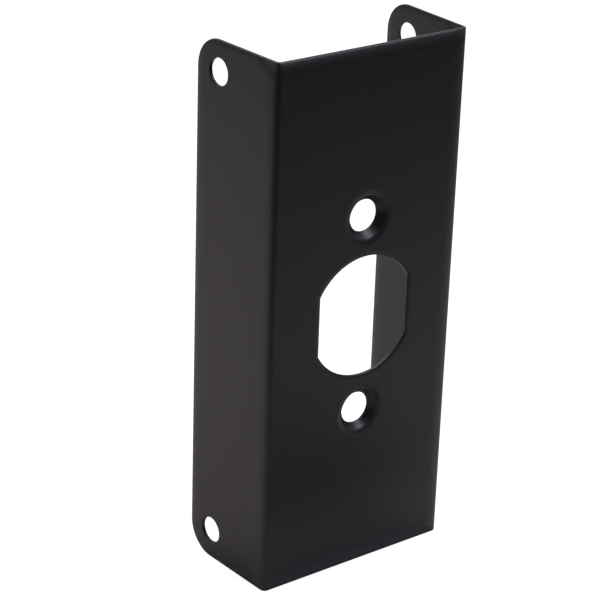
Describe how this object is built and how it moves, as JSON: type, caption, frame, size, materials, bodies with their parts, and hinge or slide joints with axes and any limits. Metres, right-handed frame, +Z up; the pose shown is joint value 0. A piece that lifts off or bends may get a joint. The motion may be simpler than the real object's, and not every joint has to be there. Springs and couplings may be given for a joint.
{
  "type": "door reinforcer",
  "caption": "Folded sheet-steel channel that wraps a door's edge round its latch, with a flat-sided latch hole, dimpled screw holes and screw holes in its flanges.",
  "frame": {"origin": "centre of the latch hole, on the web's inner face, which seats on the door's edge", "axes": "+Z up the door's edge, +Y from the seat into the door, +X across the door's thickness"},
  "size_m": [0.0472, 0.0244, 0.1104],
  "materials": {
    "black_coat": "satin black coat on sheet steel"
  },
  "bodies": {
    "root": {"reinforcer_plate": "black_coat"}
  },
  "joints": []
}
